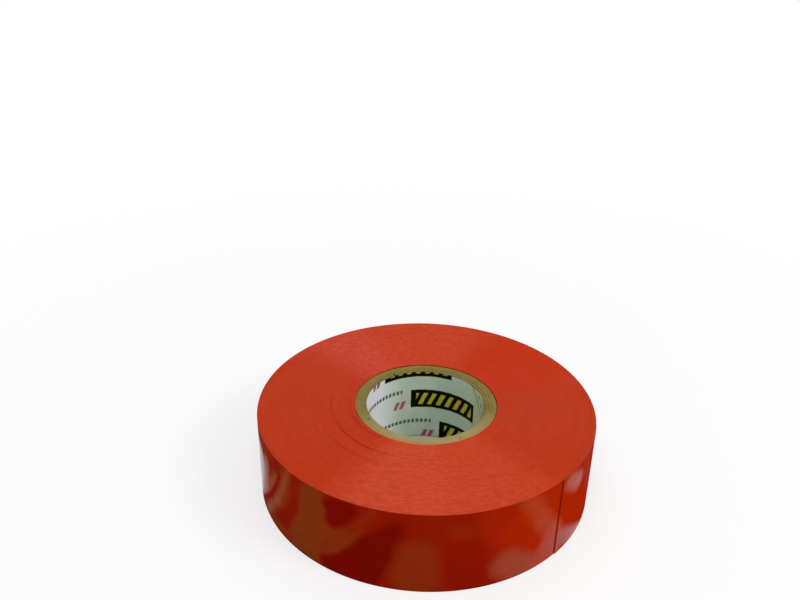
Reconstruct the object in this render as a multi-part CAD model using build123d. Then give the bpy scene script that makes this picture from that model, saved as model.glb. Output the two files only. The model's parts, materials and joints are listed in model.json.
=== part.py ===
# Roll of electrical tape on a spiral-wound paperboard core, lying on one of its flat ends.
# Millimetres and degrees. The origin is on the roll's axis, in the plane of the lower end, and +Z is up.
import os
from math import cos, degrees, radians, sin, tan

from build123d import *

# Tape
tape_width = 19.0
roll_radius = 37.25          # from the axis to the outside of the tape at its cut end
backing_thickness = 0.15     # the vinyl film
glue_thickness = 0.028       # the glue line between one turn and the next
open_turns = 4               # outermost turns that are modelled as one true spiral strip
cut_end_azimuth = -43.0      # where the tape's cut end lies, counter-clockwise from +X

# Free end of the tape: a chain of short pieces that peels away from the roll
tail_pieces = 8
tail_step_angle = 6.0        # the arc of the roll that each piece covers
tail_hinge_gap = 0.05
tail_neck_in = 0.1           # the free end is this much narrower at each edge, so it clears the bench

# Core
bore_radius = 13.2
liner_thickness = 0.13       # printed inner ply
board_thickness = 0.61       # one paperboard ply
board_plies = 4
strip_angle = 52.0           # from the horizontal to the edge of a spirally wound ply
seam_gap = 0.25              # between the edges of a ply where they meet
liner_seam_azimuth = -27.0   # where the liner's seam meets the lower end
seam_stagger = 90.0          # from one ply's seam to the next

# Fine rings in both ends, where a few turns were drawn tighter and so became narrower
inner_ring_offset = 1.35     # from the core to the ring
outer_ring_offset = 5.45
ring_width = 0.3
ring_depth = 0.1

turn_pitch = backing_thickness + glue_thickness
core_radius = bore_radius + liner_thickness + board_plies * board_thickness
full_turn = 360.0
arcs_per_turn = 4            # the spiral is drawn as quarter arcs about the corners of a small square
quarter = full_turn / arcs_per_turn
corner_step = turn_pitch / arcs_per_turn
tail_angle = tail_pieces * tail_step_angle
cutter_margin = 1.0          # how far a cutter runs past what it cuts


def direction(azimuth):
    return Vector(cos(radians(azimuth)), sin(radians(azimuth)))


def arc_centre(index):
    """Centre of quarter arc number index: a corner of a square, whose side is a quarter of the pitch."""
    half = corner_step / 2
    corners = [(half, -half), (half, half), (-half, half), (-half, -half)]
    return Vector(*corners[index % arcs_per_turn])


def arc_radius(index, depth):
    """Radius of quarter arc number index, on the line that lies depth below the outside of the tape."""
    return roll_radius - corner_step / 2 - index * corner_step - depth


def spiral_point(index, azimuth, depth):
    return arc_centre(index) + direction(azimuth) * arc_radius(index, depth)


def spiral_edges(start, end, depth=0.0):
    """Tangent arcs of the spiral from azimuth start to end, counter-clockwise and inwards.

    Azimuths run on past a full turn into the next one, and 0 is the tape's cut end."""
    edges = []
    index = int(start // quarter)
    while index * quarter < end:
        first = max(start, index * quarter)
        last = min(end, (index + 1) * quarter)
        middle = (first + last) / 2
        points = [spiral_point(index, azimuth, depth) for azimuth in (first, middle, last)]
        edges.append(ThreePointArc(*points))
        index += 1
    return edges


def strip_solid(start, end, width, height):
    """A length of the tape from azimuth start to end, its lower edge at the given height."""
    outside = spiral_edges(start, end)
    inside = spiral_edges(start, end, backing_thickness)
    ends = [Line(outside[0] @ 0, inside[0] @ 0), Line(outside[-1] @ 1, inside[-1] @ 1)]
    outline = make_face([*outside, *inside, *ends])
    return Pos(0, 0, height) * extrude(outline, width)


def gap_angle(length):
    """Angle at the axis of a short length along the outside of the roll."""
    return degrees(length / arc_radius(0, 0))


def tape_outer_turns():
    """The outermost turns, from the root of the free end inwards."""
    root_azimuth = tail_angle + gap_angle(tail_hinge_gap / 2)
    return strip_solid(root_azimuth, full_turn * open_turns, tape_width, 0)


def tape_tail(number):
    """One piece of the free end, counted from its root on the roll to the cut end.

    It turns about the middle of the gap before it, at the tape's outside, so lifting opens the glue side."""
    start = (tail_pieces - number) * tail_step_angle
    end = start + tail_step_angle - gap_angle(tail_hinge_gap / 2)
    if number < tail_pieces:
        start += gap_angle(tail_hinge_gap / 2)
    return strip_solid(start, end, tape_width - 2 * tail_neck_in, tail_neck_in)


def full_height_bar(radius):
    """Round bar on the roll's axis, as long as the tape is wide."""
    return Cylinder(radius, tape_width, align=(Align.CENTER, Align.CENTER, Align.MIN))


def ring_cutter(offset):
    """V-shaped ring to cut into both ends of the wound tape."""
    radius = core_radius + offset
    half_width = ring_width / 2
    lower = Polyline((radius - half_width, 0), (radius, ring_depth), (radius + half_width, 0), close=True)
    lower_ring = revolve(Plane.XZ * make_face(lower), Axis.Z)
    return lower_ring + lower_ring.mirror(Plane.XY.offset(tape_width / 2))


def tape_pack():
    """The inner turns, pressed and glued into one ring.

    Its outside is the next turn of the spiral, with one step that the outer turns end against."""
    outside = spiral_edges(full_turn * open_turns, full_turn * (open_turns + 1))
    step = Line(outside[-1] @ 1, outside[0] @ 0)
    pack = extrude(make_face([*outside, step]), tape_width)
    pack -= full_height_bar(core_radius)
    for offset in (inner_ring_offset, outer_ring_offset):
        pack -= ring_cutter(offset)
    return pack


def wound_ply(inner_radius, thickness, seam_azimuth):
    """One tube of the core, slit by the seam where its strip's edges meet."""
    tube = full_height_bar(inner_radius + thickness) - full_height_bar(inner_radius)
    middle_radius = inner_radius + thickness / 2
    climb = tape_width + 2 * cutter_margin
    turn_per_height = degrees(1 / (tan(radians(strip_angle)) * middle_radius))
    slot = Rectangle(thickness + 2 * cutter_margin, seam_gap / sin(radians(strip_angle)))
    slot = Pos(middle_radius, 0, -cutter_margin) * slot
    below = (0, 0, -cutter_margin)
    seam = Solid.extrude_linear_with_rotation(slot.face(), below, (0, 0, climb), turn_per_height * climb)
    return tube - Rot(0, 0, seam_azimuth - turn_per_height * cutter_margin) * seam


def build():
    nodes = {"core_liner": wound_ply(bore_radius, liner_thickness, liner_seam_azimuth)}
    for number in range(1, board_plies + 1):
        inner_radius = bore_radius + liner_thickness + (number - 1) * board_thickness
        seam_azimuth = liner_seam_azimuth + number * seam_stagger
        nodes[f"core_ply_{number}"] = wound_ply(inner_radius, board_thickness, seam_azimuth)
    cut_end = Rot(0, 0, cut_end_azimuth)
    nodes["tape_pack"] = cut_end * tape_pack()
    nodes["tape_outer_turns"] = cut_end * tape_outer_turns()
    for number in range(1, tail_pieces + 1):
        nodes[f"tape_tail_{number}"] = cut_end * tape_tail(number)
    return nodes


os.makedirs("parts", exist_ok=True)
for name, solid in build().items():
    export_step(solid, f"parts/{name}.step")
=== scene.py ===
import json
import math
import random

import bpy
import numpy as np
from mathutils import Matrix, Vector


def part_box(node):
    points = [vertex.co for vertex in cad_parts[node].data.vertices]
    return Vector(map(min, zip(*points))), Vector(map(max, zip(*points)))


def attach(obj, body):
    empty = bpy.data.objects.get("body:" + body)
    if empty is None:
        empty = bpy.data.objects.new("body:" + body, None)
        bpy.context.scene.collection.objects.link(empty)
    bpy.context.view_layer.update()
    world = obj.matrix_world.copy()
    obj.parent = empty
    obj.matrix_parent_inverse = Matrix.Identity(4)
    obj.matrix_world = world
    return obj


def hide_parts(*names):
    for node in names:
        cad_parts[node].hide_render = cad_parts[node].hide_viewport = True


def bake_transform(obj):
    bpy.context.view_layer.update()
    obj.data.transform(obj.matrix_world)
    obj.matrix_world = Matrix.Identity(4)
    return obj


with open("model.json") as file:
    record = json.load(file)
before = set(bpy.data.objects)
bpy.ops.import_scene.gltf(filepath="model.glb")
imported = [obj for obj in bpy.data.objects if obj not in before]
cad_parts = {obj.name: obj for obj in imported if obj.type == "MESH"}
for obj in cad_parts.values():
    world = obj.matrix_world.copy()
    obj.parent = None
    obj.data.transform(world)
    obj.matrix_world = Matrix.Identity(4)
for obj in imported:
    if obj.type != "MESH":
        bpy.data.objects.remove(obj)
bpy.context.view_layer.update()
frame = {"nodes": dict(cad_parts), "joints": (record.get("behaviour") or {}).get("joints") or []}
mm = 0.001
print("frame loaded", len(frame["nodes"]), "nodes")


# the roll's measures, most of them taken from the frame

def radiiOf(node):
    away = [math.hypot(vertex.co.x, vertex.co.y) for vertex in frame["nodes"][node].data.vertices]
    return min(away), max(away)


hinges = [Vector(joint["pos_m"]) for joint in frame["joints"]]
hingeAngles = [math.atan2(hinge.y, hinge.x) for hinge in hinges]
tailStep = hingeAngles[0] - hingeAngles[1]

roll = {
    "pitch": 0.178 * mm,  # film and glue line
    "turnGap": 0.004 * mm,  # between one turn's inside and the next one's outside
    "openTurns": 4,  # outermost turns, which the frame holds as single strips
    "width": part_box("tape_pack")[1].z,
    "outerRadius": radiiOf(f"tape_tail_{len(hinges)}")[1],
    "coreRadius": radiiOf("core_ply_4")[1],
    "cutAzimuth": hingeAngles[-1] - tailStep,
}
tailTurns = len(hinges) * tailStep / math.tau
print("roll", {name: round(value, 5) for name, value in roll.items()})


# small helpers for node trees

def addNode(tree, kind, inputs=None, **settings):
    made = tree.nodes.new(kind)
    for name, value in settings.items():
        setattr(made, name, value)
    for socket, value in (inputs or {}).items():
        join(tree, value, made.inputs[socket])
    return made


def join(tree, value, socket):
    if isinstance(value, bpy.types.NodeSocket):
        tree.links.new(value, socket)
    else:
        socket.default_value = value


def maths(tree, operation, a, b=0.0, c=0.0, clamp=False):
    made = addNode(tree, "ShaderNodeMath", operation=operation, use_clamp=clamp)
    for socket, value in zip(made.inputs, (a, b, c)):
        join(tree, value, socket)
    return made.outputs[0]


def times(tree, *factors):
    product = factors[0]
    for factor in factors[1:]:
        product = maths(tree, "MULTIPLY", product, factor)
    return product


def vectorOf(tree, x, y, z):
    return addNode(tree, "ShaderNodeCombineXYZ", {"X": x, "Y": y, "Z": z}).outputs[0]


def partsOf(tree, vector):
    return addNode(tree, "ShaderNodeSeparateXYZ", {0: vector}).outputs


def vectorMaths(tree, operation, a, b=(0.0, 0.0, 0.0), output="Vector"):
    second = "Scale" if operation == "SCALE" else 1
    return addNode(tree, "ShaderNodeVectorMath", {0: a, second: b}, operation=operation).outputs[output]


def stretched(tree, vector, factors):
    return vectorMaths(tree, "MULTIPLY", vector, factors)


def noiseOf(tree, vector, scale, detail=2.0, output="Fac"):
    made = addNode(tree, "ShaderNodeTexNoise", {"Vector": vector, "Scale": scale, "Detail": detail})
    return made.outputs[output]


def rangeOf(tree, value, low, high, toLow=0.0, toHigh=1.0, soft=False):
    made = addNode(tree, "ShaderNodeMapRange", {
        "Value": value, "From Min": low, "From Max": high, "To Min": toLow, "To Max": toHigh})
    made.interpolation_type = "SMOOTHSTEP" if soft else "LINEAR"
    return made.outputs[0]


def band(tree, value, low, high, edge):
    rising = rangeOf(tree, value, low - edge, low + edge, soft=True)
    falling = rangeOf(tree, value, high + edge, high - edge, soft=True)
    return times(tree, rising, falling)


def storeNumber(tree, geometry, name, value, kind="FLOAT"):
    inputs = {"Geometry": geometry, "Name": name, "Value": value}
    return addNode(tree, "GeometryNodeStoreNamedAttribute", inputs, data_type=kind, domain="POINT").outputs[0]


def readNumber(tree, name):
    return addNode(tree, "GeometryNodeInputNamedAttribute", {"Name": name}, data_type="FLOAT").outputs[0]


# geometry nodes: one strip wound on the roll's axis, for the tape, its free end, the plies and the liner

windingDefaults = {
    "Outer Radius": roll["outerRadius"], "Pitch": roll["pitch"], "Thickness": roll["pitch"] - roll["turnGap"],
    "Bottom": 0.0, "Top": roll["width"], "First Turn": 0.0, "Last Turn": 1.0,
    "Start Azimuth": roll["cutAzimuth"],
    "Seam Climb": 0.0,  # radians per metre of height
    "Corner Drop": 0.01 * mm,  # how much lower an edge's corners are than its middle
    "Unevenness": 0.02 * mm,  # how far the edges wander in height
    "Grain Round": 1.0, "Grain Turns": 3.7,  # noise cells along and across the turns
    "Ring Depth": 0.0, "Ring Width": 0.2 * mm, "Ring One": 0.0, "Ring Two": 0.0, "Faint Ring": 0.0,
    "Ring Azimuth": math.radians(-150),
    "Side Wave": 0.0, "Wave Turns": 4.0,  # how far the walls swell, down to none at that turn
    "Neck In": 0.0, "Neck Turns": 1.0,  # the free end is a little narrower
    "End Lift": 0.0, "Lift Turns": 1.0,  # and its last millimetres stand off
    "Seed": 0.0,
}
windingFixed = {
    "rawSize": 1 * mm,  # of the unplaced line and section
    "broadCells": (0.5, 0.5, 0.09),  # the edges' broad wander, against the fine one
    "ringShares": {"Ring One": 1.0, "Ring Two": 1.0, "Faint Ring": 0.5},
    # the fine wander breaks the rings, which fade out away from their azimuth
    "ringBreaks": 0.6, "ringReach": (0.95, 1.25),
    "swellRound": 3.2, "swellUp": 75.0, "swellDetail": 0.5,
}
finishSockets = ("Edge Finish", "Outside Finish", "Inside Finish", "Cut Finish")
wallLimit = 0.1  # a face whose middle is this near to 0 or 1 across the strip is a wall


def sweepSection(tree, given):
    index = addNode(tree, "GeometryNodeInputIndex").outputs[0]

    # the way along the strip: a line whose points know their turn
    size = windingFixed["rawSize"]
    line = addNode(tree, "GeometryNodeMeshLine", {
        "Count": maths(tree, "ADD", given["Steps"], 1.0), "Offset": (size, 0.0, 0.0)})
    share = maths(tree, "DIVIDE", index, given["Steps"])
    length = maths(tree, "SUBTRACT", given["Last Turn"], given["First Turn"])
    turn = maths(tree, "MULTIPLY_ADD", share, length, given["First Turn"])
    path = storeNumber(tree, line.outputs[0], "turn", turn)
    path = addNode(tree, "GeometryNodeMeshToCurve", {0: path}).outputs[0]

    # its section: rows up the outside, a crown on the top edge, rows down the inside, a crown below;
    # across is 0 on the outside, a half on the crowns and 1 on the inside
    rows = given["Rows"]
    count = maths(tree, "MULTIPLY_ADD", rows, 2.0, 4.0)
    loop = addNode(tree, "GeometryNodeMeshCircle", {"Vertices": count, "Radius": size})
    topCrown = maths(tree, "COMPARE", index, maths(tree, "ADD", rows, 1.0), 0.1)
    bottomCrown = maths(tree, "COMPARE", index, maths(tree, "MULTIPLY_ADD", rows, 2.0, 3.0), 0.1)
    inside = maths(tree, "GREATER_THAN", index, maths(tree, "ADD", rows, 1.5))
    across = maths(tree, "MULTIPLY_ADD", bottomCrown, -0.5, inside)
    across = maths(tree, "MULTIPLY_ADD", topCrown, 0.5, across)
    rising = maths(tree, "DIVIDE", index, rows)
    left = maths(tree, "SUBTRACT", maths(tree, "MULTIPLY_ADD", rows, 2.0, 2.0), index)
    up = maths(tree, "MINIMUM", rising, maths(tree, "DIVIDE", left, rows), clamp=True)
    section = storeNumber(tree, loop.outputs[0], "across", across)
    section = storeNumber(tree, section, "up", up)
    section = storeNumber(tree, section, "crown", maths(tree, "ADD", topCrown, bottomCrown))
    section = addNode(tree, "GeometryNodeMeshToCurve", {0: section}).outputs[0]
    swept = {"Curve": path, "Profile Curve": section, "Fill Caps": True}
    return addNode(tree, "GeometryNodeCurveToMesh", swept).outputs[0]


def sinkEdges(tree, given, turn, azimuth, crown):
    # the edges sink by wandering turns, fine rings, the narrower free end and the rounded corners
    reach = given["Grain Round"]
    grainPlace = vectorOf(tree, times(tree, maths(tree, "COSINE", azimuth), reach),
                          times(tree, maths(tree, "SINE", azimuth), reach),
                          maths(tree, "MULTIPLY_ADD", turn, given["Grain Turns"], given["Seed"]))
    fine = noiseOf(tree, grainPlace, 1.0, 1.0)
    broad = noiseOf(tree, stretched(tree, grainPlace, windingFixed["broadCells"]), 1.0, 1.0)
    uneven = times(tree, maths(tree, "ADD", fine, broad), given["Unevenness"])
    radius = maths(tree, "SUBTRACT", given["Outer Radius"], times(tree, turn, given["Pitch"]))
    rings = 0.0
    for name, share in windingFixed["ringShares"].items():
        away = maths(tree, "ABSOLUTE", maths(tree, "SUBTRACT", radius, given[name]))
        rings = maths(tree, "ADD", rings, rangeOf(tree, away, given["Ring Width"], 0.0, 0.0, share))
    facing = maths(tree, "COSINE", maths(tree, "SUBTRACT", azimuth, given["Ring Azimuth"]))
    ringShare = rangeOf(tree, maths(tree, "MULTIPLY_ADD", fine, windingFixed["ringBreaks"], facing),
                        *windingFixed["ringReach"])
    sunk = maths(tree, "MULTIPLY_ADD", times(tree, rings, ringShare), given["Ring Depth"], uneven)
    inset = times(tree, rangeOf(tree, turn, given["Neck Turns"], 0.0), given["Neck In"])
    corner = times(tree, maths(tree, "SUBTRACT", 1.0, crown), given["Corner Drop"])
    drop = maths(tree, "ADD", sunk, maths(tree, "ADD", inset, corner))
    return radius, sunk, drop


def placePoints(tree, given, turn, azimuth, across, radius, height):
    # round the axis, with soft swells in the wall and the lifted end
    azimuth = maths(tree, "MULTIPLY_ADD", height, given["Seam Climb"], azimuth)
    east, north = maths(tree, "COSINE", azimuth), maths(tree, "SINE", azimuth)
    swellRound = windingFixed["swellRound"]
    swellPlace = vectorOf(tree, times(tree, east, swellRound), times(tree, north, swellRound),
                          times(tree, height, windingFixed["swellUp"]))
    swell = times(tree, noiseOf(tree, swellPlace, 1.0, windingFixed["swellDetail"]), given["Side Wave"],
                  rangeOf(tree, turn, given["Wave Turns"], 0.0))
    lift = rangeOf(tree, turn, given["Lift Turns"], 0.0)
    lift = times(tree, lift, lift, given["End Lift"])
    radius = maths(tree, "SUBTRACT", radius, times(tree, across, given["Thickness"]))
    radius = maths(tree, "ADD", radius, maths(tree, "ADD", swell, lift))
    return vectorOf(tree, times(tree, east, radius), times(tree, north, radius), height)


def finishFaces(tree, given, solid, across):
    # walls shade smooth and edges stay crisp; each has its finish
    normal = addNode(tree, "GeometryNodeInputNormal").outputs[0]
    upright = maths(tree, "LESS_THAN", maths(tree, "ABSOLUTE", partsOf(tree, normal)["Z"]), 0.5)
    outside = times(tree, upright, maths(tree, "LESS_THAN", across, wallLimit))
    inside = times(tree, upright, maths(tree, "GREATER_THAN", across, 1 - wallLimit))
    walls = maths(tree, "ADD", outside, inside)
    solid = addNode(tree, "GeometryNodeSetShadeSmooth", {0: solid, "Shade Smooth": walls}).outputs[0]
    solid = addNode(tree, "GeometryNodeRealizeInstances", {0: solid}).outputs[0]
    chosen = (("Edge Finish", None), ("Cut Finish", upright), ("Outside Finish", outside),
              ("Inside Finish", inside))
    for name, faces in chosen:
        inputs = {0: solid, "Material": given[name]}
        if faces:
            inputs["Selection"] = faces
        solid = addNode(tree, "GeometryNodeSetMaterial", inputs).outputs[0]
    return solid


def buildWindingTree():
    tree = bpy.data.node_groups.new("windStrip", "GeometryNodeTree")
    face = tree.interface
    face.new_socket("Geometry", in_out="OUTPUT", socket_type="NodeSocketGeometry")
    for name, value in windingDefaults.items():
        face.new_socket(name, in_out="INPUT", socket_type="NodeSocketFloat").default_value = value
    for name in ("Steps", "Rows"):
        face.new_socket(name, in_out="INPUT", socket_type="NodeSocketInt")
    for name in finishSockets:
        face.new_socket(name, in_out="INPUT", socket_type="NodeSocketMaterial")
    given = addNode(tree, "NodeGroupInput").outputs
    swept = sweepSection(tree, given)
    turn, across, up, crown = (readNumber(tree, name) for name in ("turn", "across", "up", "crown"))
    azimuth = maths(tree, "MULTIPLY_ADD", turn, math.tau, given["Start Azimuth"])
    radius, sunk, drop = sinkEdges(tree, given, turn, azimuth, crown)
    low = maths(tree, "ADD", given["Bottom"], drop)
    high = maths(tree, "SUBTRACT", given["Top"], drop)
    height = maths(tree, "MULTIPLY_ADD", up, maths(tree, "SUBTRACT", high, low), low)
    placed = placePoints(tree, given, turn, azimuth, across, radius, height)
    shaped = addNode(tree, "GeometryNodeSetPosition", {"Geometry": swept, "Position": placed})
    solid = storeNumber(tree, shaped.outputs[0], "sunk", sunk)
    solid = storeNumber(tree, solid, "place", placed, "FLOAT_VECTOR")
    addNode(tree, "NodeGroupOutput", {0: finishFaces(tree, given, solid, across)})
    return tree


windingTree = buildWindingTree()


def windStrip(name, steps, rows, finishes, sizes):
    holder = bpy.data.objects.new(name, bpy.data.meshes.new(name))
    bpy.context.scene.collection.objects.link(holder)
    modifier = holder.modifiers.new("winding", "NODES")
    modifier.node_group = windingTree
    sockets = {item.name: item.identifier for item in windingTree.interface.items_tree}
    values = {**windingDefaults, **sizes, "Steps": steps, "Rows": rows, **dict(zip(finishSockets, finishes))}
    for key, value in values.items():
        modifier[sockets[key]] = value
    bpy.context.view_layer.update()
    mesh = bpy.data.meshes.new_from_object(holder.evaluated_get(bpy.context.evaluated_depsgraph_get()))
    mesh.name = name
    holder.modifiers.clear()
    holder.data = mesh
    print("wound", name, len(mesh.polygons), "faces")
    return holder


# a map of each strip: one row per turn for each of its walls and edges, and a band for its two cut faces

mapLayout = {
    "side": 0.001, "rowMargin": 0.06,
    "capBand": 0.02, "capStart": 0.02, "capStep": 0.9, "capWidth": 0.04,
}


def readValues(mesh, name):
    values = np.empty(len(mesh.vertices), np.float32)
    mesh.attributes[name].data.foreach_get("value", values)
    return values.astype(float)


def rowBands(rowCount, outside, inside, edges, firstOutside):
    # where each part of a row starts and how tall it is: outside, inside, top edge, bottom edge, caps
    heights = np.tile([outside, inside, edges, edges], (rowCount, 1)).astype(float)
    if firstOutside:
        heights[0, 0] = firstOutside
    capBand = mapLayout["capBand"]
    heights *= (1 - capBand) / heights.sum()
    lows = np.concatenate([[0], np.cumsum(heights.ravel())])[:-1].reshape(heights.shape)
    lows = np.append(lows, np.full((rowCount, 1), 1 - capBand), axis=1)
    return lows, np.append(heights, np.full((rowCount, 1), capBand), axis=1)


def layMap(piece, outside=1.0, inside=1.0, edges=1.0, firstOutside=None):
    mesh = piece.data
    corner = np.empty(len(mesh.loops), int)
    mesh.loops.foreach_get("vertex_index", corner)
    sides = np.empty(len(mesh.polygons), int)
    mesh.polygons.foreach_get("loop_total", sides)
    faceOf = np.repeat(np.arange(len(sides)), sides)
    turn, across, up = (readValues(mesh, name)[corner] for name in ("turn", "across", "up"))
    meanTurn, meanAcross, meanUp = (np.bincount(faceOf, value) / sides for value in (turn, across, up))
    isCap = sides > 4  # only the cut faces have more corners
    firstTurn = math.floor(meanTurn.min())
    row = np.floor(meanTurn - firstTurn).astype(int)
    part = np.select([isCap, meanAcross < wallLimit, meanAcross > 1 - wallLimit, meanUp > 0.5],
                     [4, 0, 1, 2], 3)
    lows, heights = rowBands(row.max() + 1, outside, inside, edges, firstOutside)
    low, tall = lows[row, part][faceOf], heights[row, part][faceOf]
    local = np.where(np.isin(part, (2, 3))[faceOf], across, up)
    start, stop = turn.min(), turn.max()
    if row.max() == 0:
        rounds = (turn - start) / (stop - start)
    else:
        rounds = turn - firstTurn - row[faceOf]
    side, margin = mapLayout["side"], mapLayout["rowMargin"]
    isFar = turn > (start + stop) / 2
    capPlace = mapLayout["capStart"] + mapLayout["capStep"] * isFar + mapLayout["capWidth"] * across
    u = np.where(isCap[faceOf], capPlace, side + (1 - 2 * side) * rounds)
    v = low + tall * (margin + (1 - 2 * margin) * local)
    mesh.uv_layers.new(name="OFBake").uv.foreach_set("vector", np.stack([u, v], 1).ravel().astype(np.float32))


# shader node groups for the finishes

groupLook = {
    # cells round the axis, both ways, and across the turns
    "fineCells": (6.0, 6.0, 1.9), "streakCells": (1.5, 1.5, 0.35), "rippleCells": (20.0, 20.0, 0.38),
    "speckCore": 0.6,  # the full part of a speck's radius
    "hairShape": (1.0, 0.16, 1.0), "turnedShape": (0.2, 1.0, 0.4), "hairTurn": 0.6, "hairShare": 0.6,
    "cloudDensity": 260.0,
}
rimLength = math.radians(roll["outerRadius"]) / mm  # millimetres of the rim in one degree


def startGroup(name, inputs, outputs):
    group = bpy.data.node_groups.new(name, "ShaderNodeTree")
    for key, kind in inputs.items():
        group.interface.new_socket(key, in_out="INPUT", socket_type="NodeSocket" + kind)
    for key in outputs:
        group.interface.new_socket(key, in_out="OUTPUT", socket_type="NodeSocketFloat")
    return group, addNode(group, "NodeGroupInput").outputs, addNode(group, "NodeGroupOutput").inputs


def asideOf(tree, azimuth, middle):
    return maths(tree, "WRAP", maths(tree, "SUBTRACT", azimuth, middle), 180.0, -180.0)


def buildSoftStroke():
    # a line on the wall between two places, each an azimuth, a height and a half width
    group, given, out = startGroup("softStroke", {
        "Azimuth": "Float", "Height": "Float", "From": "Vector", "To": "Vector",
        "Softness": "Float"}, ["Mask"])
    start = partsOf(group, given["From"])
    stop = partsOf(group, given["To"])
    aside = asideOf(group, given["Azimuth"], start[0])
    point = vectorOf(group, times(group, aside, rimLength),
                     maths(group, "SUBTRACT", given["Height"], start[1]), 0.0)
    apart = maths(group, "SUBTRACT", stop[0], start[0])
    reach = vectorOf(group, times(group, apart, rimLength), maths(group, "SUBTRACT", stop[1], start[1]), 0.0)
    along, whole = [vectorMaths(group, "DOT_PRODUCT", vector, reach, "Value") for vector in (point, reach)]
    share = maths(group, "MAXIMUM", maths(group, "DIVIDE", along, whole), 0.0)
    share = maths(group, "MINIMUM", share, 1.0)
    nearest = vectorMaths(group, "SCALE", reach, share)
    away = vectorMaths(group, "DISTANCE", point, nearest, "Value")
    half = maths(group, "MULTIPLY_ADD", share, maths(group, "SUBTRACT", stop[2], start[2]), start[2])
    outer = maths(group, "ADD", half, given["Softness"])
    inner = maths(group, "SUBTRACT", half, given["Softness"])
    join(group, rangeOf(group, away, outer, inner, soft=True), out["Mask"])
    return group


def buildWoundGrain():
    # noise that runs along the turns and changes from one turn to the next
    group, given, out = startGroup("woundGrain", {
        "Place": "Vector", "Turn": "Float", "Round": "Float"}, ["Tone", "Height", "Ripple"])
    facing = vectorMaths(group, "NORMALIZE", stretched(group, given["Place"], (1.0, 1.0, 0.0)))
    spread = vectorMaths(group, "SCALE", facing, given["Round"])
    lane = vectorMaths(group, "ADD", spread, vectorOf(group, 0.0, 0.0, given["Turn"]))
    fine = noiseOf(group, stretched(group, lane, groupLook["fineCells"]), 1.0, 1.0)
    streak = noiseOf(group, stretched(group, lane, groupLook["streakCells"]), 1.0)
    join(group, maths(group, "MULTIPLY_ADD", fine, 0.5, times(group, streak, 0.5)), out["Tone"])
    join(group, fine, out["Height"])
    join(group, noiseOf(group, stretched(group, lane, groupLook["rippleCells"]), 1.0), out["Ripple"])
    return group


def buildSpecks():
    group, given, out = startGroup("specks", {
        "Place": "Vector", "Density": "Float", "Size": "Float", "Share": "Float"}, ["Mask"])
    cells = addNode(group, "ShaderNodeTexVoronoi", {0: given["Place"], "Scale": given["Density"]}).outputs
    chance = addNode(group, "ShaderNodeSeparateColor", {0: cells["Color"]}).outputs[0]
    kept = maths(group, "LESS_THAN", chance, given["Share"])
    core = times(group, given["Size"], groupLook["speckCore"])
    join(group, times(group, kept, rangeOf(group, cells["Distance"], given["Size"], core)), out["Mask"])
    return group


def buildFibres():
    group, given, out = startGroup("paperFibres", {"Place": "Vector", "Density": "Float"}, ["Tone", "Height"])
    turned = addNode(group, "ShaderNodeVectorRotate", {
        0: given["Place"], "Angle": groupLook["hairTurn"]}, rotation_type="Z_AXIS").outputs[0]
    hairs = 0.0
    for vector, shape in ((given["Place"], groupLook["hairShape"]), (turned, groupLook["turnedShape"])):
        layer = noiseOf(group, stretched(group, vector, shape), given["Density"], 3.0)
        hairs = maths(group, "ADD", hairs, times(group, layer, 0.5))
    cloud = noiseOf(group, given["Place"], groupLook["cloudDensity"])
    share = groupLook["hairShare"]
    join(group, maths(group, "MULTIPLY_ADD", hairs, share, times(group, cloud, 1 - share)), out["Tone"])
    join(group, hairs, out["Height"])
    return group


softStroke = buildSoftStroke()
woundGrain = buildWoundGrain()
specks = buildSpecks()
paperFibres = buildFibres()
print("shader groups ready")


# materials

noiseSpan = (0.3, 0.7)  # most values of a noise lie between these
closeSpan = (0.35, 0.65)


def startMaterial(name):
    material = bpy.data.materials.new(name)
    material.use_nodes = True
    tree = material.node_tree
    shader = next(node for node in tree.nodes if node.type == "BSDF_PRINCIPLED")
    return material, tree, shader


def setFinish(tree, shader, colour, roughness, specular):
    for name, value in (("Base Color", colour), ("Roughness", roughness), ("Specular IOR Level", specular)):
        join(tree, value, shader.inputs[name])


def attribute(tree, name, output="Fac"):
    return addNode(tree, "ShaderNodeAttribute", attribute_name=name).outputs[output]


def useGroup(tree, group, **inputs):
    return addNode(tree, "ShaderNodeGroup", inputs, node_tree=group).outputs


def colourMix(tree, amount, a, b):
    made = addNode(tree, "ShaderNodeMix", data_type="RGBA")
    for socket, value in zip((made.inputs[0], made.inputs[6], made.inputs[7]), (amount, a, b)):
        join(tree, (*value, 1.0) if isinstance(value, tuple) else value, socket)
    return made.outputs[2]


def bump(tree, shader, height, strength, distance):
    made = addNode(tree, "ShaderNodeBump", {"Strength": strength, "Distance": distance, "Height": height})
    join(tree, made.outputs[0], shader.inputs["Normal"])


def cylinderOf(tree, place):
    parts = partsOf(tree, place)
    azimuth = times(tree, maths(tree, "ARCTAN2", parts["Y"], parts["X"]), 180 / math.pi)
    return azimuth, times(tree, parts["Z"], 1 / mm)  # degrees and millimetres


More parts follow.
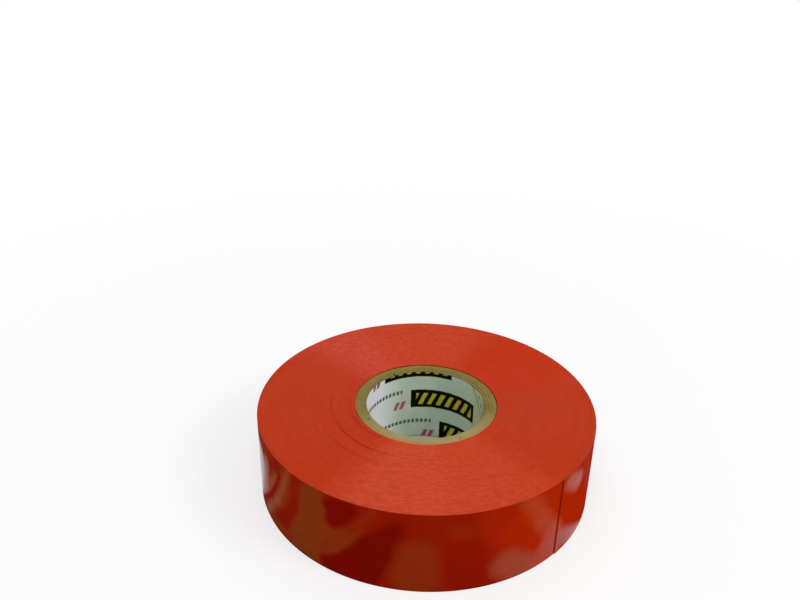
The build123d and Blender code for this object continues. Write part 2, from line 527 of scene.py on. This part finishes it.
edgeLook = {
    "low": (0.455, 0.029, 0.0030), "high": (0.53, 0.041, 0.0055),
    "grooveShadeAndDust": (0.30, 0.010, 0.001), "glintSpeck": (0.85, 0.35, 0.16), "ripple": (0.40, 0.020, 0.002),
    "sheenGlow": (0.603, 0.074, 0.0285), "sheenRosy": (0.60, 0.067, 0.0460), "sheenVivid": (0.56, 0.028, 0.0010),
    # sectors of painted sheen, lighter where the wound edges catch the light: tone, middle, half width,
    # strength, unevenness
    "sheenFans": [("sheenVivid", 38, 22, 0.8, 0.1), ("sheenGlow", -97, 20, 0.75, 0.1), ("sheenGlow", -63, 16, 0.5, 0.1),
             ("sheenGlow", 100, 34, 0.45, 0.35), ("sheenRosy", 132, 14, 0.5, 0.4)],
    "sheenFanFade": 11.0,
    # ripples along the turns, stronger towards the front
    "grainRound": 1.0, "rippleSpan": (0.38, 0.62), "rippleShares": (0.18, 0.30),
    "frontSpan": (-8 * mm, -20 * mm),
    "grooveDepths": (0.05 * mm, 0.12 * mm), "grooveShare": 0.8,
    "glintSpecks": {"Density": 300.0, "Size": 0.12, "Share": 0.004},
    "roughness": (0.34, 0.50), "roughDensity": 120.0, "specular": 0.06,
    "bumpDensity": 2600.0, "bump": (0.25, 0.02 * mm),  # strength and height
}


def makeVinylEdge():
    look = edgeLook
    material, tree, shader = startMaterial("vinylEdge")
    place = attribute(tree, "place", "Vector")
    turn = attribute(tree, "turn")
    grain = useGroup(tree, woundGrain, Place=place, Turn=turn, Round=look["grainRound"])
    colour = colourMix(tree, rangeOf(tree, grain["Tone"], *noiseSpan), look["low"], look["high"])
    azimuth = cylinderOf(tree, place)[0]
    # painted sheen: sectors of the edge face are lighter by azimuth, as the grooves catch the light
    for tone, middle, half, strength, uneven in look["sheenFans"]:
        aside = maths(tree, "ABSOLUTE", asideOf(tree, azimuth, middle))
        outer, inner = half + look["sheenFanFade"], half - look["sheenFanFade"]
        sheenFan = rangeOf(tree, aside, outer, inner, 0.0, strength, soft=True)
        share = rangeOf(tree, grain["Ripple"], *look["rippleSpan"], 1 + uneven, 1 - uneven)
        colour = colourMix(tree, times(tree, sheenFan, share), colour, look[tone])
    front = partsOf(tree, place)["Y"]
    ripple = times(tree, rangeOf(tree, grain["Ripple"], *look["rippleSpan"]),
                   rangeOf(tree, front, *look["frontSpan"], *look["rippleShares"]))
    colour = colourMix(tree, ripple, colour, look["ripple"])
    # sunken turns are darker: painted shade in the grooves, with some dust
    deep = rangeOf(tree, attribute(tree, "sunk"), *look["grooveDepths"])
    colour = colourMix(tree, times(tree, deep, look["grooveShare"]), colour, look["grooveShadeAndDust"])
    # bright specks on the wound edges: painted glints
    glintSpecks = useGroup(tree, specks, Place=place, **look["glintSpecks"])["Mask"]
    colour = colourMix(tree, glintSpecks, colour, look["glintSpeck"])
    rough = rangeOf(tree, noiseOf(tree, place, look["roughDensity"]), *noiseSpan, *look["roughness"])
    setFinish(tree, shader, colour, rough, look["specular"])
    height = maths(tree, "ADD", noiseOf(tree, place, look["bumpDensity"]), grain["Height"])
    bump(tree, shader, height, *look["bump"])
    return material


# the film's own colour and the tones of its painted reflections: colour and how much clear gloss lies on it
filmAndReflectionTones = {
    "base": ((0.254, 0.0085, 0.0005), 0.04),
    "umber": ((0.243, 0.0290, 0.0028), 0.03),
    "rust": ((0.262, 0.0190, 0.0012), 0.03),
    "deep": ((0.190, 0.0025, 0.0004), 0.03),
    "deepest": ((0.168, 0.0035, 0.0004), 0.03),
    "dark": ((0.248, 0.0066, 0.0003), 0.03),
    "haze": ((0.216, 0.0345, 0.0038), 0.04),
    "brown": ((0.236, 0.0235, 0.0030), 0.08),
    "tan": ((0.298, 0.0520, 0.0014), 0.22),
    "olive": ((0.300, 0.0500, 0.0020), 0.48),
    "amber": ((0.335, 0.0115, 0.0006), 0.05),
    "warm": ((0.370, 0.0150, 0.0004), 0.04),
    "ember": ((0.385, 0.0180, 0.0005), 0.0),
    "pink": ((0.312, 0.0335, 0.0070), 0.72),
    "rose": ((0.400, 0.0340, 0.0012), 0.42),
    "blush": ((0.385, 0.0260, 0.0030), 0.75),
    "pale": ((0.375, 0.0340, 0.0040), 0.76),
    "lilac": ((0.345, 0.0220, 0.0070), 0.95),
    "crimson": ((0.330, 0.0110, 0.0022), 0.07),
    "shine": ((0.246, 0.0210, 0.0016), 1.0),
    "foot": ((0.060, 0.0180, 0.0200), 0.03),
}

# painted reflections as soft strokes over the film: tone, start and end as (azimuth, height, half width),
# strength, softness
paintedReflectionStrokes = [
    ("umber", (-152, 9, 9.0), (-121, 9, 9.0), 1.0, 3.0),
    ("amber", (-66, 15, 4.0), (-50, 15, 5.0), 1.0, 2.0),
    ("ember", (-52, 10, 9.0), (-25, 9, 9.0), 1.0, 2.5),
    ("rust", (-157, 18.5, 2.2), (-146, 19, 2.6), 0.8, 1.6),
    ("dark", (-142.5, 17.3, 1.8), (-147.5, 14.5, 1.5), 0.8, 1.1),
    ("shine", (-160.5, 10.2, 5.6), (-172, 3, 6.1), 1.0, 1.5),
    ("olive", (-151.0, 14.5, 1.1), (-153.0, 8, 1.2), 0.9, 1.2),
    ("olive", (-153.0, 8, 1.2), (-157.5, 4.6, 0.9), 0.9, 1.1),
    ("tan", (-143.5, 14.3, 0.8), (-151, 8.3, 0.9), 0.7, 1.1),
    ("tan", (-134, 19.5, 0.7), (-143, 8.6, 1.0), 0.8, 1.1),
    ("tan", (-143, 8.6, 1.0), (-152, 1.8, 0.9), 0.8, 1.1),
    ("dark", (-140.5, 15.3, 0.55), (-148, 7.7, 0.65), 1.0, 0.5),
    ("dark", (-148, 7.7, 0.65), (-159, 0.8, 0.6), 1.0, 0.5),
    ("dark", (-131.5, 18, 1.5), (-133, 11, 1.6), 0.8, 1.0),
    ("dark", (-133, 11, 1.4), (-139.5, 5, 2.2), 0.95, 0.9),
    ("dark", (-139.5, 5, 2.2), (-144.5, 3.4, 1.1), 0.9, 1.0),
    ("haze", (-124.3, 19, 2.0), (-126, 9, 3.0), 1.0, 1.1),
    ("haze", (-126, 9, 3.0), (-129.5, 2.3, 4.0), 1.0, 1.1),
    ("deep", (-117.2, 16.5, 2.0), (-112, 16.8, 2.2), 1.0, 1.0),
    ("deep", (-116.8, 13.3, 2.0), (-111.8, 13.8, 2.0), 1.0, 1.0),
    ("rust", (-104, 18, 0.9), (-113.5, 10.8, 1.2), 0.8, 1.0),
    ("brown", (-113.5, 10.8, 1.3), (-120.5, 5.2, 1.5), 0.9, 1.0),
    ("dark", (-97, 17.5, 2.5), (-94, 9, 2.0), 0.7, 1.8),
    ("deepest", (-97.5, 15, 1.6), (-104, 8.5, 3.6), 1.0, 1.4),
    ("deepest", (-104, 8.5, 3.6), (-110.5, 1.5, 5.2), 1.0, 0.9),
    ("deep", (-113, 2, 3.4), (-119.5, 1.8, 1.8), 1.0, 1.0),
    ("brown", (-90.5, 8.6, 4.0), (-91, 3.5, 4.7), 0.9, 1.9),
    ("rust", (-79, 14.7, 1.8), (-77, 14.2, 1.8), 0.7, 1.4),
    ("dark", (-75.3, 3.5, 4.3), (-76.5, 9.5, 3.6), 1.0, 1.2),
    ("amber", (-68, 17, 3.4), (-66, 11, 2.8), 0.8, 1.6),
    ("warm", (-61.5, 11.5, 2.6), (-54, 7.6, 2.8), 1.0, 1.1),
    ("pink", (-63, 4.2, 3.4), (-55, 0.6, 3.4), 1.0, 1.8),
    ("rose", (-59, 20.5, 2.0), (-51, 11.9, 1.8), 0.85, 1.8),
    ("rose", (-51, 11.9, 1.8), (-45.5, 7, 2.2), 0.9, 1.6),
    ("blush", (-45.5, 6.4, 2.2), (-47, 1.5, 4.2), 1.0, 1.6),
    ("ember", (-47.5, 18.8, 2.2), (-40.5, 12.6, 2.5), 1.0, 0.9),
    ("ember", (-40.5, 12.6, 2.5), (-25, 3.5, 2.2), 1.0, 0.9),
    ("lilac", (-41.5, 4.0, 2.2), (-29, 0, 1.9), 0.9, 1.1),
    ("pale", (-38.5, 17, 2.0), (-33.6, 15.2, 2.1), 0.9, 1.4),
    ("crimson", (-28.5, 20, 1.4), (-23.8, 11, 1.3), 1.0, 1.2),
    # a dark lavender line along the foot of the wall: painted reflection of the floor there
    ("foot", (-152, -0.3, 0.4), (-28, -0.3, 0.4), 0.55, 0.3),
]

# the side away from the cut end has broader, fainter painted reflections of the same kind
backReflectionLook = {
    "seed": 5, "count": 20, "start": -8, "span": 196,
    "paintedLightTones": ("deep", "umber", "dark", "amber", "deepest", "brown", "rust"),
    "ranges": {"leaning": (-12, 12), "top": (15, 21), "topHalf": (1.0, 3.0), "foot": (-3, 5),
               "footHalf": (1.5, 4.5), "strength": (0.5, 0.9), "softness": (1.0, 2.0)},
}

filmLook = {
    "warpDensity": 85.0, "warpDegrees": 1.2, "warpHeight": 0.7,  # how far the strokes waver
    "mottle": 0.12, "mottleDensity": 700.0, "mottleSpan": (0.35, 0.7),
    # beside the cut end: a dark band, painted shadow of the cut step with glue in it
    "glueAndShadowLine": (0.17, 0.004, 0.001), "glueAndShadowTurns": (0.9989, 0.9998, 0.0003), "glueAndShadowShare": 0.3,
    "dust": (0.6, 0.2, 0.12), "dustShare": 0.5, "dustSpecks": {"Density": 500.0, "Size": 0.1, "Share": 0.006},
    "backGloss": 0.3, "backSpan": (-9 * mm, 8 * mm),
    "roughness": (0.26, 0.38), "smearShape": (1.0, 1.0, 0.4), "smearDensity": 260.0, "specular": 0.0,
    "coatRoughness": 0.14, "coatIndex": 1.22,
    "bumpDensity": 900.0, "bump": (0.12, 0.02 * mm),
}


def backReflectionStrokes():
    draw = random.Random(backReflectionLook["seed"])
    paintedLightTones, count = backReflectionLook["paintedLightTones"], backReflectionLook["count"]
    strokes = []
    for number in range(count):
        azimuth = backReflectionLook["start"] + backReflectionLook["span"] * (number + draw.random()) / count
        drawn = {name: draw.uniform(*ends) for name, ends in backReflectionLook["ranges"].items()}
        strokes.append((paintedLightTones[number % len(paintedLightTones)], (azimuth, drawn["top"], drawn["topHalf"]),
                        (azimuth + drawn["leaning"], drawn["foot"], drawn["footHalf"]),
                        drawn["strength"], drawn["softness"]))
    return strokes


def wavering(tree, value, noise, reach):
    return maths(tree, "ADD", value, times(tree, maths(tree, "SUBTRACT", noise, 0.5), reach * 2))


def filmWithPaintedReflections(tree, place):
    azimuth, height = cylinderOf(tree, place)
    warp = noiseOf(tree, place, filmLook["warpDensity"], 1.5, "Color")
    warp = addNode(tree, "ShaderNodeSeparateColor", {0: warp}).outputs
    azimuth = wavering(tree, azimuth, warp[0], filmLook["warpDegrees"])
    height = wavering(tree, height, warp[1], filmLook["warpHeight"])
    colour, gloss = filmAndReflectionTones["base"]
    # each stroke paints a reflection's colour and gloss onto the film
    for tone, start, stop, strength, softness in paintedReflectionStrokes + backReflectionStrokes():
        stroke = useGroup(
            tree, softStroke, Azimuth=azimuth, Height=height, From=start, To=stop, Softness=softness)
        mask = times(tree, stroke["Mask"], strength)
        strokeColour, strokeGloss = filmAndReflectionTones[tone]
        colour = colourMix(tree, mask, colour, strokeColour)
        gloss = addNode(tree, "ShaderNodeMix", {0: mask, 2: gloss, 3: strokeGloss}).outputs[0]
    return colour, gloss


def makeVinylFace():
    look = filmLook
    material, tree, shader = startMaterial("vinylFace")
    place = attribute(tree, "place", "Vector")
    colour, gloss = filmWithPaintedReflections(tree, place)
    mottle = noiseOf(tree, place, look["mottleDensity"], 3.0)
    mottle = rangeOf(tree, mottle, *look["mottleSpan"], 0.0, look["mottle"])
    colour = colourMix(tree, mottle, colour, filmAndReflectionTones["deepest"][0])
    # painted shadow line beside the cut end, with glue
    glueAndShadowLine = band(tree, attribute(tree, "turn"), *look["glueAndShadowTurns"])
    colour = colourMix(tree, times(tree, glueAndShadowLine, look["glueAndShadowShare"]), colour, look["glueAndShadowLine"])
    dust = useGroup(tree, specks, Place=place, **look["dustSpecks"])["Mask"]
    colour = colourMix(tree, times(tree, dust, look["dustShare"]), colour, look["dust"])
    behind = rangeOf(tree, partsOf(tree, place)["Y"], *look["backSpan"])
    gloss = maths(tree, "MULTIPLY_ADD", behind, look["backGloss"], gloss)
    join(tree, gloss, shader.inputs["Coat Weight"])
    smear = noiseOf(tree, stretched(tree, place, look["smearShape"]), look["smearDensity"], 3.0)
    rough = rangeOf(tree, smear, *noiseSpan, *look["roughness"])
    setFinish(tree, shader, colour, rough, look["specular"])
    shader.inputs["Coat Roughness"].default_value = look["coatRoughness"]
    shader.inputs["Coat IOR"].default_value = look["coatIndex"]
    bump(tree, shader, noiseOf(tree, place, look["bumpDensity"]), *look["bump"])
    return material


glueLook = {
    "low": (0.20, 0.010, 0.004), "high": (0.28, 0.016, 0.007), "cloudDensity": 500.0,
    "roughness": (0.25, 0.42), "specular": 0.5, "bumpDensity": 1400.0, "bump": (0.3, 0.02 * mm),
}


def makeGlueSide():
    look = glueLook
    material, tree, shader = startMaterial("glueSide")
    place = attribute(tree, "place", "Vector")
    cloud = noiseOf(tree, place, look["cloudDensity"], 3.0)
    colour = colourMix(tree, rangeOf(tree, cloud, *closeSpan), look["low"], look["high"])
    rough = rangeOf(tree, cloud, *noiseSpan, *look["roughness"])
    setFinish(tree, shader, colour, rough, look["specular"])
    bump(tree, shader, noiseOf(tree, place, look["bumpDensity"], 3.0), *look["bump"])
    return material


cutLook = {
    "low": (0.26, 0.008, 0.002), "high": (0.38, 0.014, 0.003), "roughness": 0.6, "specular": 0.05,
    "nickShape": (1.0, 1.0, 0.3), "nickDensity": 3000.0,
}


def makeCutEnd():
    material, tree, shader = startMaterial("cutEnd")
    place = attribute(tree, "place", "Vector")
    nicks = noiseOf(tree, stretched(tree, place, cutLook["nickShape"]), cutLook["nickDensity"])
    colour = colourMix(tree, nicks, cutLook["low"], cutLook["high"])
    setFinish(tree, shader, colour, cutLook["roughness"], cutLook["specular"])
    return material


boardLook = {
    "low": (0.175, 0.132, 0.026), "high": (0.265, 0.204, 0.056), "fibreDensity": 1500.0,
    "faceTint": 0.7, "linerRimTint": 0.45,  # how dark the faces and the liner's rim are against a ply's rim
    # painted light: the rims are lighter on the side towards the front, where light falls on them
    "paintedLitTone": (0.37, 0.290, 0.130), "paintedLitSide": math.radians(-85), "paintedLitSpan": (0.1, 0.9),
    "paintedLitShare": 0.75,
    "fleck": (0.06, 0.045, 0.015), "fleckShare": 0.7,
    "flecks": {"Density": 420.0, "Size": 0.2, "Share": 0.02},
    "roughness": 0.85, "specular": 0.2, "bump": (0.5, 0.06 * mm),
}


def makePaperboard(name, tint):
    look = boardLook
    material, tree, shader = startMaterial(name)
    place = attribute(tree, "place", "Vector")
    fibres = useGroup(tree, paperFibres, Place=place, Density=look["fibreDensity"])
    low, high, paintedLitTone = (tuple(channel * tint for channel in look[key])
                           for key in ("low", "high", "paintedLitTone"))
    colour = colourMix(tree, rangeOf(tree, fibres["Tone"], *closeSpan), low, high)
    # painted light on the front side of the rims
    azimuth = times(tree, cylinderOf(tree, place)[0], math.pi / 180)
    facing = maths(tree, "COSINE", maths(tree, "SUBTRACT", azimuth, look["paintedLitSide"]))
    pale = rangeOf(tree, facing, *look["paintedLitSpan"], 0.0, look["paintedLitShare"], soft=True)
    colour = colourMix(tree, pale, colour, paintedLitTone)
    flecks = useGroup(tree, specks, Place=place, **look["flecks"])["Mask"]
    colour = colourMix(tree, times(tree, flecks, look["fleckShare"]), colour, look["fleck"])
    setFinish(tree, shader, colour, look["roughness"], look["specular"])
    bump(tree, shader, fibres["Height"], *look["bump"])
    return material


# the liner's plain print: rows of bars that climb with the strip; a band has two ends and a soft border
printLook = {
    "rowPitch": 8.7, "rowStart": -1.4, "rowShift": 31.3, "repeat": 180.0,
    "wobbleDensity": 900.0, "wobbleDegrees": 1.2, "wobbleHeight": 0.25,
    "bar": (0.003, 0.004, 0.001), "barAlong": (0.7, 74.7, 0.6), "barUp": (1.3, 6.3, 0.12),
    "lean": 1.9,
    "dash": (0.50, 0.44, 0.04), "dashStart": 9.0, "dashPitch": 9.4, "dashCell": (0.12, 0.62, 0.05),
    "dashAlong": (5.0, 69.0, 0.6), "dashUp": (2.2, 5.3, 0.15),
    "line": (0.10, 0.13, 0.12), "linePitch": 4.6, "lineCell": (0.12, 0.78, 0.08),
    "lineAlong": (84.0, 139.0, 0.8), "lineUp": (5.6, 6.6, 0.15),
    "block": (0.42, 0.08, 0.11), "blockUp": (1.3, 3.4, 0.25),
    "blockOne": (86.2, 90.6, 1.0), "blockTwo": (93.0, 97.4, 1.0),
    "seamClimb": 3.375, "seamAzimuth": -27.0,
    "tick": (0.16, 0.15, 0.14), "tickPitch": 1.5, "tickCell": (0.2, 0.7, 0.08),
    "tickAside": (-9.5, -6.5, 0.6), "tickUp": (12.5, 18.0, 0.3),
    "paper": (0.57, 0.68, 0.57), "paperShade": (0.44, 0.55, 0.41), "fibreDensity": 900.0,
    # painted light and shade round the bore, lighter where light falls and darker and browner in shade:
    # colour, middle, where it is full and where it ends, strength
    "paintedLightTones": [((0.48, 0.58, 0.48), 58, (8, 34), 0.8), ((0.88, 0.89, 0.94), 165, (15, 55), 0.95),
              ((0.52, 0.52, 0.30), 0, (25, 45), 0.8), ((0.32, 0.25, 0.13), -5, (8, 26), 0.75)],
    "roughness": 0.5, "specular": 0.03, "bump": (0.2, 0.04 * mm),
}


def printBand(tree, value, name):
    return band(tree, value, *printLook[name])


def cellOf(tree, value, pitch):
    return maths(tree, "FRACT", maths(tree, "DIVIDE", value, printLook[pitch]))


def printMasks(tree, azimuth, height):
    look = printLook
    rows = maths(tree, "SUBTRACT", height, look["rowStart"])
    rows = maths(tree, "DIVIDE", rows, look["rowPitch"])
    row = maths(tree, "FLOOR", rows)
    inRow = times(tree, maths(tree, "SUBTRACT", rows, row), look["rowPitch"])
    along = maths(tree, "MULTIPLY_ADD", row, -look["rowShift"], azimuth)
    along = maths(tree, "WRAP", along, look["repeat"], 0.0)
    bar = times(tree, printBand(tree, along, "barAlong"), printBand(tree, inRow, "barUp"))
    leaning = maths(tree, "MULTIPLY_ADD", inRow, look["lean"], along)
    dashCell = cellOf(tree, maths(tree, "SUBTRACT", leaning, look["dashStart"]), "dashPitch")
    dash = times(tree, printBand(tree, dashCell, "dashCell"), printBand(tree, inRow, "dashUp"),
                 printBand(tree, along, "dashAlong"))
    lineCell = cellOf(tree, along, "linePitch")
    line = times(tree, printBand(tree, along, "lineAlong"), printBand(tree, inRow, "lineUp"),
                 printBand(tree, lineCell, "lineCell"))
    block = times(tree, printBand(tree, inRow, "blockUp"), maths(
        tree, "ADD", printBand(tree, leaning, "blockOne"), printBand(tree, leaning, "blockTwo")))
    pastSeam = maths(tree, "MULTIPLY_ADD", height, -look["seamClimb"], azimuth)
    pastSeam = maths(tree, "SUBTRACT", pastSeam, look["seamAzimuth"])
    tick = times(tree, printBand(tree, pastSeam, "tickAside"), printBand(tree, height, "tickUp"),
                 printBand(tree, cellOf(tree, height, "tickPitch"), "tickCell"))
    return {"bar": bar, "dash": dash, "line": line, "block": block, "tick": tick}


def makeLinerPrint():
    look = printLook
    material, tree, shader = startMaterial("linerPrint")
    place = attribute(tree, "place", "Vector")
    azimuth, height = cylinderOf(tree, place)
    wobble = maths(tree, "SUBTRACT", noiseOf(tree, place, look["wobbleDensity"]), 0.5)
    azimuth = maths(tree, "MULTIPLY_ADD", wobble, look["wobbleDegrees"], azimuth)
    height = maths(tree, "MULTIPLY_ADD", wobble, look["wobbleHeight"], height)
    masks = printMasks(tree, azimuth, height)
    fibres = useGroup(tree, paperFibres, Place=place, Density=look["fibreDensity"])
    colour = colourMix(tree, rangeOf(tree, fibres["Tone"], *noiseSpan), look["paperShade"], look["paper"])
    # painted light and shade on the liner by azimuth
    for tone, middle, (full, end), strength in look["paintedLightTones"]:
        aside = maths(tree, "ABSOLUTE", asideOf(tree, azimuth, middle))
        amount = rangeOf(tree, aside, end, full, 0.0, strength, soft=True)
        colour = colourMix(tree, amount, colour, tone)
    for name, mask in masks.items():
        colour = colourMix(tree, mask, colour, look[name])
    setFinish(tree, shader, colour, look["roughness"], look["specular"])
    bump(tree, shader, fibres["Height"], *look["bump"])
    return material


vinylEdge = makeVinylEdge()
vinylFace = makeVinylFace()
glueSide = makeGlueSide()
cutEnd = makeCutEnd()
boardEdge = makePaperboard("boardEdge", 1.0)
boardFace = makePaperboard("boardFace", boardLook["faceTint"])
linerRim = makePaperboard("linerRim", boardLook["linerRimTint"])
linerPrint = makeLinerPrint()
print("materials ready")


# the tape

tape = {
    "packStepsPerTurn": 120, "turnStepsPerTurn": 360, "turnRows": 14, "tailStepsPerPiece": 48,
    "rings": {"Ring One": 1.35 * mm, "Ring Two": 5.45 * mm, "Faint Ring": 8.75 * mm},  # from the core
    "sizes": {"Unevenness": 0.03 * mm, "Ring Depth": 0.09 * mm, "Side Wave": 0.05 * mm,
              "Corner Drop": 0.026 * mm},
    "tailSizes": {"Neck In": 0.1 * mm, "End Lift": 0.03 * mm, "Lift Turns": 0.008},
    # how tall the rows of the maps are, against each other
    "packMap": {"outside": 0.25, "inside": 0.25}, "outerMap": {"edges": 0.5, "firstOutside": 12.0},
    "tailMap": {"outside": 4.0, "inside": 4.0},
}
tapeFinishes = (vinylEdge, vinylFace, glueSide, cutEnd)
woundSizes = {**tape["sizes"]}
for ringName, offset in tape["rings"].items():
    woundSizes[ringName] = roll["coreRadius"] + offset

innerTurns = (roll["outerRadius"] - roll["coreRadius"]) / roll["pitch"] - 1 - roll["openTurns"]
packSteps = math.floor(innerTurns * tape["packStepsPerTurn"])
woundTurns = windStrip("wound_turns", packSteps, 1, tapeFinishes, {
    **woundSizes, "Side Wave": 0.0, "First Turn": roll["openTurns"],
    "Last Turn": roll["openTurns"] + packSteps / tape["packStepsPerTurn"]})
layMap(woundTurns, **tape["packMap"])
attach(woundTurns, "roll")
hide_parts("tape_pack")

rootTurns = tailTurns + tailStep / 2 / math.tau
turnSteps = round((roll["openTurns"] - rootTurns) * tape["turnStepsPerTurn"])
outerTurns = windStrip("outer_turns", turnSteps, tape["turnRows"], tapeFinishes, {
    **woundSizes, "First Turn": rootTurns, "Last Turn": roll["openTurns"]})
layMap(outerTurns, **tape["outerMap"])
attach(outerTurns, "roll")
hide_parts("tape_outer_turns")
print("tape wound")


# its free end, one piece over each hinge and a tip past the last one


tailSizes = {**woundSizes, **tape["tailSizes"], "Neck Turns": tailTurns}
stepTurns = tailStep / math.tau
for number in range(1, len(hinges) + 1):
    hingeTurns = (len(hinges) + 1 - number) * stepTurns
    near, far = hingeTurns + stepTurns / 2, hingeTurns - stepTurns / 2
    piece = windStrip(f"free_end_{number}", tape["tailStepsPerPiece"], tape["turnRows"], tapeFinishes, {
        **tailSizes, "First Turn": far, "Last Turn": near})
    layMap(piece, **tape["tailMap"])
    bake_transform(piece)
    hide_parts(f"tape_tail_{number}")
tip = windStrip("free_end_tip", tape["tailStepsPerPiece"], tape["turnRows"], tapeFinishes, {
    **tailSizes, "First Turn": 0.0, "Last Turn": stepTurns / 2})
layMap(tip, **tape["tailMap"])
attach(tip, f"tail_{len(hinges)}")
print("free end laid on its hinges")


# the core: four plies of paperboard and the printed liner, each a tube whose seam climbs as a helix

core = {
    "plies": 4, "stripAngle": math.radians(52), "seamGap": 0.25 * mm, "linerSeam": math.radians(-27),
    "seamStagger": math.radians(90), "plyGap": 0.012 * mm, "steps": 220, "rows": 26,
    "sizes": {"Bottom": 0.05 * mm, "Unevenness": 0.09 * mm, "Grain Round": 4.0},
    "plySizes": {"Corner Drop": 0.09 * mm}, "linerSizes": {"Side Wave": 0.03 * mm},
    # how far the liner's top edge, then each ply's from the bore outwards, stands below the tape's
    "endDrops": (0.4 * mm, 0.2 * mm, 0.08 * mm, 0.03 * mm, 0.05 * mm),
    "linerMap": {"inside": 4.0},
}


def windTube(name, node, number, finishes, sizes):
    inner, outer = radiiOf(node)
    middle = (inner + outer) / 2
    gap = core["seamGap"] / math.sin(core["stripAngle"]) / middle
    piece = windStrip(name, core["steps"], core["rows"], finishes, {
        "Outer Radius": outer - core["plyGap"] / 2, "Pitch": 0.0, "Thickness": outer - inner - core["plyGap"],
        "Last Turn": 1 - gap / math.tau,
        "Start Azimuth": core["linerSeam"] + number * core["seamStagger"] + gap / 2,
        "Seam Climb": 1 / (math.tan(core["stripAngle"]) * middle), "Seed": 10.0 * number,
        "Top": roll["width"] - core["endDrops"][number], **core["sizes"], **sizes})
    layMap(piece, **(core["linerMap"] if number == 0 else {}))
    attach(piece, "roll")
    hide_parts(node)
    return piece


boardFinishes = (boardEdge, boardFace, boardFace, boardEdge)
for number in range(1, core["plies"] + 1):
    ply = windTube(f"board_ply_{number}", f"core_ply_{number}", number, boardFinishes, core["plySizes"])
linerFinishes = (linerRim, boardFace, linerPrint, boardEdge)
liner = windTube("printed_liner", "core_liner", 0, linerFinishes, core["linerSizes"])
print("core built")


# floor, light and camera

studio = {
    "floorSize": 4.0, "floorColour": (0.95, 0.95, 0.95), "floorRoughness": 0.9, "worldStrength": 0.58,
    "fadeSpan": (0.035, 0.24), "nearShare": 0.62,  # the floor turns to plain white away from the roll
    "shadedRadius": 0.020,  # the core and its bore stand in shade
    # painted shade on the floor in the bore: darker, and darker and greener towards the bore's wall
    "boreFloorShade": (0.80, 0.80, 0.77), "boreCornerShade": (0.50, 0.53, 0.42), "cornerShadeSpan": (9 * mm, 12.6 * mm),
    # name, place, size and power; each one looks at the origin
    "lamps": [
        ("overheadSoft", (-0.08, -0.30, 1.0), 0.6, 2.7),
        ("rightSoft", (0.80, -0.35, 0.80), 0.5, 4.2),
    ],
}


def seenDirectly(tree):
    rays = addNode(tree, "ShaderNodeLightPath").outputs
    seen = maths(tree, "ADD", rays["Is Camera Ray"], rays["Is Glossy Ray"])
    return maths(tree, "ADD", seen, rays["Is Transmission Ray"], clamp=True)


def makeFloorPaint():
    look = studio
    material, tree, shader = startMaterial("floorPaint")
    place = addNode(tree, "ShaderNodeTexCoord").outputs["Object"]
    away = vectorMaths(tree, "LENGTH", place, output="Value")
    fade = rangeOf(tree, away, *look["fadeSpan"], look["nearShare"], 1.0, soft=True)
    outside = maths(tree, "GREATER_THAN", away, look["shadedRadius"])
    # painted shade in the bore, deepest towards its wall
    corner = rangeOf(tree, away, *look["cornerShadeSpan"], soft=True)
    boreShade = colourMix(tree, corner, look["boreFloorShade"], look["boreCornerShade"])
    colour = colourMix(tree, outside, boreShade, look["floorColour"])
    setFinish(tree, shader, colour, look["floorRoughness"], 0.0)
    fade = times(tree, fade, outside)
    white = addNode(tree, "ShaderNodeEmission", {"Strength": 1.0}).outputs[0]
    share = times(tree, fade, seenDirectly(tree))
    mixed = addNode(tree, "ShaderNodeMixShader", {0: share, 1: shader.outputs[0], 2: white})
    join(tree, mixed.outputs[0], tree.nodes["Material Output"].inputs["Surface"])
    return material


def makeFloor():
    size = studio["floorSize"] / 2
    corners = [(-size, -size, 0), (size, -size, 0), (size, size, 0), (-size, size, 0)]
    mesh = bpy.data.meshes.new("floor")
    mesh.from_pydata(corners, [], [(0, 1, 2, 3)])
    mesh.materials.append(makeFloorPaint())
    floor = bpy.data.objects.new("floor", mesh)
    bpy.context.scene.collection.objects.link(floor)


def makeLights():
    world = bpy.data.worlds.new("studio")
    bpy.context.scene.world = world
    world.use_nodes = True
    tree = world.node_tree
    background = tree.nodes["Background"]
    background.inputs["Color"].default_value = (1.0, 1.0, 1.0, 1.0)
    join(tree, rangeOf(tree, seenDirectly(tree), 0.0, 1.0, studio["worldStrength"], 1.0),
         background.inputs["Strength"])
    for name, place, size, power in studio["lamps"]:
        lamp = bpy.data.lights.new(name, "AREA")
        lamp.shape = "DISK"
        lamp.size = size
        lamp.energy = power
        holder = bpy.data.objects.new(name, lamp)
        holder.location = place
        holder.rotation_euler = Vector(place).to_track_quat("Z", "Y").to_euler()
        bpy.context.scene.collection.objects.link(holder)


eye = {
    "place": (0.0, -0.148469, 0.117050), "heading": 0.04156, "down": 0.4574, "tilt": 0.01831,
    "lens": 35.572, "clipStart": 5 * mm,
}


def makeCamera():
    camera = bpy.data.objects.new("camera", bpy.data.cameras.new("camera"))
    bpy.context.scene.collection.objects.link(camera)
    camera.data.lens = eye["lens"]
    camera.data.clip_start = eye["clipStart"]
    turned = (Matrix.Rotation(eye["heading"], 4, "Z") @ Matrix.Rotation(math.pi / 2 - eye["down"], 4, "X")
              @ Matrix.Rotation(eye["tilt"], 4, "Z"))
    camera.matrix_world = Matrix.Translation(eye["place"]) @ turned
    bpy.context.scene.camera = camera


makeFloor()
makeLights()
makeCamera()
bpy.context.scene.view_settings.view_transform = "Standard"
print("studio ready")
